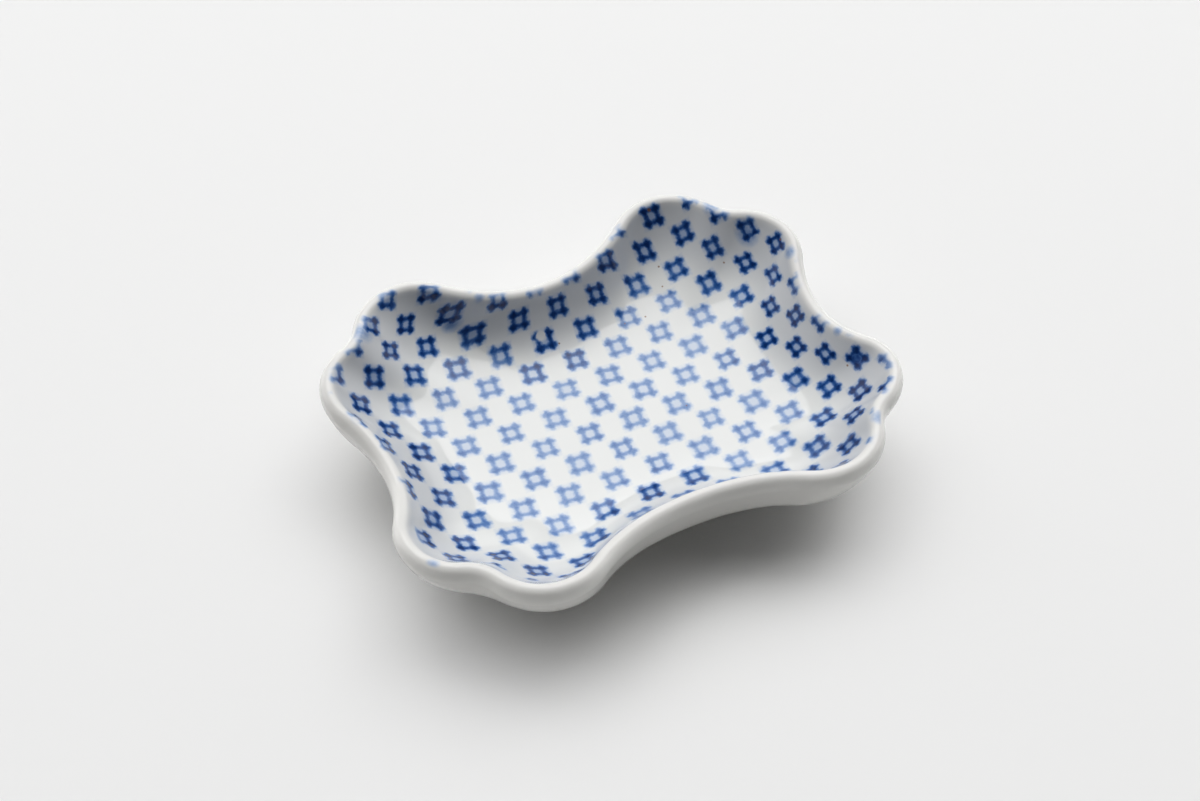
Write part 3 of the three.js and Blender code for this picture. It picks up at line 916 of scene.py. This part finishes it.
def colour_print(tree, colour, sheet_x, sheet_y, from_crest):
    """The colour with the blue print and its faults laid over it, thicker ink taking more away."""
    sheet = put(tree, "ShaderNodeCombineXYZ", sheet_x, sheet_y, 0.0)
    sagged = spots_on(tree, sheet, SAGS, softness=0.7) * from_crest.eased(*SAG_BEGINS)
    fuller = 1.0 + sagged * SAG_STRETCH
    sheet = put(tree, "ShaderNodeCombineXYZ", sheet_x * fuller, sheet_y * fuller, 0.0)
    on_wall = from_crest.eased(*WALL_BEGINS)
    bars, haze, chance, crept = printed_figures(tree, sheet, on_wall)

    mottle = noise(tree, sheet, MOTTLE_SCALE, detail=3.0).within(*MOTTLE_RANGE)
    mottle = mottle * MOTTLE_SPREAD + MOTTLE
    strength = (FLOOR_INK + on_wall * WALL_INK) * (FIGURE_INK + chance * FIGURE_INK_SPREAD)
    strength = strength * mottle + spots_on(tree, crept, HEAVY, softness=0.4) * HEAVY_INK
    strength = strength * (1.0 - spots_on(tree, crept, LIFTED, softness=0.5) * LIFTED_SHARE)
    ink = bars * strength + haze * (FLOOR_HAZE + on_wall * WALL_HAZE)
    ink = ink * (1.0 - spots_on(tree, crept, GAPS, softness=0.5))
    for spots, softness, most in ((BLOTS, 0.7, BLOT_INK), (SMEARS, 1.0, SMEAR_INK)):
        ink = ink.does("MAXIMUM", spots_on(tree, crept, spots, softness) * mottle * most)

    # The print ends ragged at the foot of the lip, lower down on the side where the sheet was
    # short, and a trace of some figures goes over it.
    to_short_side = dot(sheet, SHORT_SIDE)
    missing = to_short_side.eased(*SHORT_FROM) * SHORT_BY
    missing = missing + to_short_side.eased(*SHORTER_FROM) * SHORTER_BY
    missing = missing - sheet_y.eased(*HIGHER_FROM) * HIGHER_BY
    torn = (noise(tree, sheet, RAGGED_SCALE, detail=2.0) - 0.5) * RAGGEDNESS
    ragged = torn + from_crest + missing
    printed = ragged.eased(*PRINT_ENDS) * (1 - STRAY_INK_SHARE)
    ink = ink * (printed + ragged.eased(*STRAY_INK_ENDS) * STRAY_INK_SHARE)
    traces = spots_on(tree, crept, TRACES, softness=1.0) * from_crest.eased(*TRACE_ENDS)
    ink = ink.does("MAXIMUM", traces * mottle * TRACE_INK).does("MINIMUM", MOST_INK)

    densities = (ink, ink - ink * ink * GREEN_EASING, ink**BLUE_POWER)
    passes = [
        put(tree, "ShaderNodeMath", share, density, operation="POWER")
        for share, density in zip(COBALT_PASSES, densities)
    ]
    blue = put(tree, "ShaderNodeCombineColor", *passes)
    colour = put(
        tree, "ShaderNodeMix", 1.0, colour, blue, data_type="RGBA", blend_type="MULTIPLY"
    )
    specks = spots_on(tree, sheet, SPECKS, softness=0.6) * from_crest.within(*SPECKS_END)
    return mixed(tree, specks * SPECK_SHARE, colour, IRON_BROWN)


glaze, glaze_tree, glaze_shader = new_material("clear_glaze_on_print", IOR=1.5)
glaze_look = placed(glaze_tree, GLAZE_FILM)
stored_sheet = glaze_tree.nodes.new("ShaderNodeAttribute")
stored_sheet.attribute_name = "print_sheet"
print_place = Term(stored_sheet.outputs["Vector"]).parts()
white = PORCELAIN_FLOOR
# The tones carry painted shade on the inner walls and painted light on the lip's outer shoulder and
# the outer wall.
for start, end, tone in PORCELAIN_AND_PAINTED_LIGHT_TONES.values():
    white = mixed(glaze_tree, print_place[2].eased(start, end), white, tone)
white = mixed(glaze_tree, glaze_look["Tone"] * CLOUDED_SHARE, white, CLOUDED_GLAZE)
painted = colour_print(glaze_tree, white, *print_place)
feed(glaze_tree, glaze_shader, Base_Color=painted, Roughness=glaze_look["Roughness"])
raise_surface(glaze_tree, glaze_shader, glaze_look["Height"], depth=0.06)

glaze_with_print = sectioned_piece("glaze_with_print", glaze, True)
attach(glaze_with_print, "root")
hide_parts("glaze_coat")


# The glaze under the base: the same dip also fills the hollow inside the foot. The wiped edge parts
# it from the main coat, and it gathers a little in the corner against the foot.

CORNER_FILLET = 0.9
FILLET_LEAD = 0.6
FLAT_LEAD = 1.5
SIDE_SWELL = 0.08
ROLL_START = 0.08
ROLL_END = 0.35
ROLL_SHARE = 0.7
BASE_WHITE = (0.79, 0.80, 0.785, 1)
BASE_CLOUD = (0.56, 0.58, 0.56, 1)
CLOUD_SHARE = 0.18

base_low = UNDERSIDE_HEIGHT - GLAZE_THICKNESS
side_inset = FOOT_WALL + GLAZE_THICKNESS
base_section = [
    (FOOT_WALL, UNDERSIDE_HEIGHT),
    (INNER_SIDE_INSET, BARE_EDGE),
    (INNER_SIDE_INSET + GLAZE_THICKNESS * ROLL_SHARE, BARE_EDGE + ROLL_START),
    (INNER_SIDE_INSET + GLAZE_THICKNESS, BARE_EDGE + ROLL_END),
    (side_inset - SIDE_SWELL, base_low - CORNER_FILLET - FILLET_LEAD),
    *rounded(side_inset + CORNER_FILLET, base_low - CORNER_FILLET, CORNER_FILLET, 180, 90),
    (side_inset + CORNER_FILLET + FLAT_LEAD, base_low),
]
base_coat, base_tree, base_shader = new_material("clear_glaze_on_base", IOR=1.5)
base_look = placed(base_tree, GLAZE_FILM, Pinholes=2.0)
base_colour = mixed(base_tree, base_look["Tone"] * CLOUD_SHARE, BASE_WHITE, BASE_CLOUD)
feed(base_tree, base_shader, Base_Color=base_colour, Roughness=base_look["Roughness"])
raise_surface(base_tree, base_shader, base_look["Height"], depth=0.08)

glaze_under_base = oval_piece("glaze_under_base", base_section, False, base_coat)
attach(glaze_under_base, "root")
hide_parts("base_glaze")


# The stage: a plain pale table top, one large window behind the dish with the pale wall round it,
# and the camera where the photograph was taken from. The table is clear from below and open inside
# the foot's standing line, where a panel under it lights the base alone.

CAMERA_PLACE = (-87.05, -169.64, 237.4)
CAMERA_ELEVATION = 49.62
CAMERA_TURN = 26.53
CAMERA_LENS = 49.47
SENSOR_WIDTH = 36.0
NEAREST_SEEN = 5.0
TABLE_HALF = 3000.0
TABLE_COLOUR = (0.79, 0.79, 0.785, 1)
BACKDROP_WHITE = (0.895, 0.895, 0.895, 1)
ROOM_COLOUR = (0.97, 0.98, 1.0, 1)
ROOM_STRENGTH = 0.02

# The table pales to the backdrop's white in two steps outwards from the dish. The near step is
# painted light: the table glows a little just beyond the dish, which lightens the outer part of the
# dish's shadow.
NEAR_PAINTED_LIGHT, NEAR_PAINTED_LIGHT_SHARE = (34.0, 62.0), 0.4
FAR_PALING, FAR_SHARE = (220.0, 700.0), 0.6
STANDING_MARGIN = 0.2
STANDING_INSET = FOOT_TAPER + FOOT_EDGE_ROUND + STANDING_MARGIN

# The glaze mirrors the backdrop's white only from behind the dish and from low down.
BEHIND_RANGE = (-0.1, 0.3)
LOW_RANGE = (0.6, 0.3)

# Panels of light that face the dish: the angle to the right of the camera's view, the elevation,
# the width and the height, all in degrees, then the radiance and whether the glaze mirrors it.
PANEL_DISTANCE = 1500.0
PANELS = {
    "window": (6, 56.5, 52, 40, 2.5, True),
    "pale_ceiling": (-5, 70, 80, 40, 1.4, False),
    "left_wall": (-65, 45, 50, 50, 1.12, False),
    "right_wall": (62, 42, 45, 50, 0.78, False),
    "far_wall": (0, 20, 110, 30, 0.42, False),
    "near_wall": (-140, 8, 90, 14, 0.5, False),
    "below": (0, -90, 90, 90, 1.1, False),
}


def rays(tree, *kinds):
    """1 for a ray of any of these kinds."""
    path = tree.nodes.new("ShaderNodeLightPath")
    found, *others = (Term(path.outputs[f"Is {kind} Ray"]) for kind in kinds)
    for other in others:
        found = found.does("MAXIMUM", other)
    return found


table_mesh = bpy.data.meshes.new("table")
corners = [(-1, -1), (1, -1), (1, 1), (-1, 1)]
table_points = [(x * TABLE_HALF * MM, y * TABLE_HALF * MM, 0) for x, y in corners]
table_mesh.from_pydata(table_points, [], [(0, 1, 2, 3)])
table = bpy.data.objects.new("table", table_mesh)
bpy.context.scene.collection.objects.link(table)
table_top, table_tree, table_shader = new_material(
    "table_top", Base_Color=TABLE_COLOUR, Roughness=0.6, Specular_IOR_Level=0.1
)
table_place = in_millimetres(table_tree)
away = table_place.vector("LENGTH")
# The near glow is painted light over the dish's shadow; the far glow evens the table into the white
# backdrop.
pale = away.eased(*NEAR_PAINTED_LIGHT) * NEAR_PAINTED_LIGHT_SHARE + away.eased(*FAR_PALING) * FAR_SHARE
shown = pale * rays(table_tree, "Camera", "Glossy", "Transmission")
white_table = put(table_tree, "ShaderNodeEmission", BACKDROP_WHITE, 1.0)
lit_table = Term(table_shader.outputs[0])
from_above = put(table_tree, "ShaderNodeMixShader", shown, lit_table, white_table)

hollow = (FOOT_LENGTH / 2 - STANDING_INSET, FOOT_WIDTH / 2 - STANDING_INSET, 1.0)
in_hollow = table_place.vector("DIVIDE", hollow).vector("LENGTH").does("LESS_THAN", 1.0)
from_below = Term(table_tree.nodes.new("ShaderNodeNewGeometry").outputs["Backfacing"])
opened = from_below.does("MAXIMUM", in_hollow)
clear = put(table_tree, "ShaderNodeBsdfTransparent")
table_seen = put(table_tree, "ShaderNodeMixShader", opened, from_above, clear)
feed(table_tree, table_tree.nodes["Material Output"], Surface=table_seen)
table_mesh.materials.append(table_top)


def soft_panel(name, aside, elevation, width, height, radiance, mirrored_in_glaze):
    """A panel of light that faces the dish from PANEL_DISTANCE."""
    heading = math.radians(CAMERA_TURN + aside)
    rise = math.radians(elevation)
    distance = PANEL_DISTANCE * MM
    lamp = bpy.data.lights.new(name, "AREA")
    lamp.shape = "RECTANGLE"
    lamp.size = 2 * distance * math.tan(math.radians(width / 2))
    lamp.size_y = 2 * distance * math.tan(math.radians(height / 2))
    lamp.energy = radiance * math.pi * lamp.size * lamp.size_y
    panel = bpy.data.objects.new(name, lamp)
    flat = math.cos(rise)
    towards = Vector((math.sin(heading) * flat, math.cos(heading) * flat, math.sin(rise)))
    panel.location = towards * distance
    panel.rotation_euler = towards.to_track_quat("Z", "Y").to_euler()
    panel.visible_glossy = mirrored_in_glaze
    panel.visible_camera = False
    bpy.context.scene.collection.objects.link(panel)


for panel_name, panel_values in PANELS.items():
    soft_panel(panel_name, *panel_values)

world = bpy.data.worlds.new("room")
world.use_nodes = True
bpy.context.scene.world = world
world_tree = world.node_tree
room = world_tree.nodes["Background"]
room.inputs["Color"].default_value = ROOM_COLOUR
room.inputs["Strength"].default_value = ROOM_STRENGTH
direction = Term(world_tree.nodes.new("ShaderNodeTexCoord").outputs["Object"])
heading = math.radians(CAMERA_TURN)
open_white = put(world_tree, "ShaderNodeBackground", BACKDROP_WHITE, 1.0)
behind = dot(direction, (math.sin(heading), math.cos(heading))).eased(*BEHIND_RANGE)
behind = behind * direction.parts()[2].eased(*LOW_RANGE)
mirrored_white = rays(world_tree, "Glossy", "Transmission") * behind
backdrop = rays(world_tree, "Camera").does("MAXIMUM", mirrored_white)
world_seen = put(world_tree, "ShaderNodeMixShader", backdrop, Term(room.outputs[0]), open_white)
feed(world_tree, world_tree.nodes["World Output"], Surface=world_seen)

lens = bpy.data.cameras.new("camera")
lens.sensor_fit = "HORIZONTAL"
lens.sensor_width = SENSOR_WIDTH
lens.lens = CAMERA_LENS
lens.clip_start = NEAREST_SEEN * MM
camera = bpy.data.objects.new("camera", lens)
camera.location = Vector(CAMERA_PLACE) * MM
camera.rotation_euler = (math.radians(90 - CAMERA_ELEVATION), 0, math.radians(-CAMERA_TURN))
bpy.context.scene.collection.objects.link(camera)
bpy.context.scene.camera = camera
bpy.context.scene.view_settings.view_transform = "Standard"
